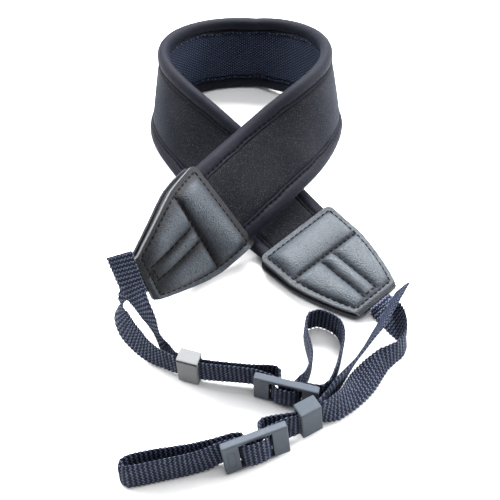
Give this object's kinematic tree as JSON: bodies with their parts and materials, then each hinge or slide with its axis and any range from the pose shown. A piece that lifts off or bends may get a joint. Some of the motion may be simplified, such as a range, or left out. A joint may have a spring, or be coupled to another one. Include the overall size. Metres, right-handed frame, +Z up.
{
  "type": "camera neck strap",
  "caption": "Padded neck strap for a camera, with leather-look ends, flat webbing, sliding keepers, tri-glide buckles and a webbing loop at each end.",
  "frame": {"origin": "middle of the bounding box, at its base on the floor", "axes": "+X to the right and +Y away from the viewer in the picture, with the arched back of the padded band at +Y, +Z up"},
  "size_m": [0.1206, 0.2404, 0.0502],
  "materials": {
    "foam_cover": "stretch knit",
    "rolled_edge": "stretch knit",
    "knit_lining": "knitted mesh",
    "leatherette": "satin grain",
    "webbing": "ribbed weave",
    "plastic": "satin"
  },
  "bodies": {
    "root": {"pad_core": "foam_cover", "upper_binding": "rolled_edge", "lower_binding": "rolled_edge", "mesh_lining": "knit_lining", "left_leather_end": "leatherette", "right_leather_end": "leatherette", "left_webbing": "webbing", "right_webbing": "webbing", "left_keeper": "plastic", "right_keeper": "plastic", "left_buckle": "plastic", "right_buckle": "plastic"}
  },
  "joints": []
}
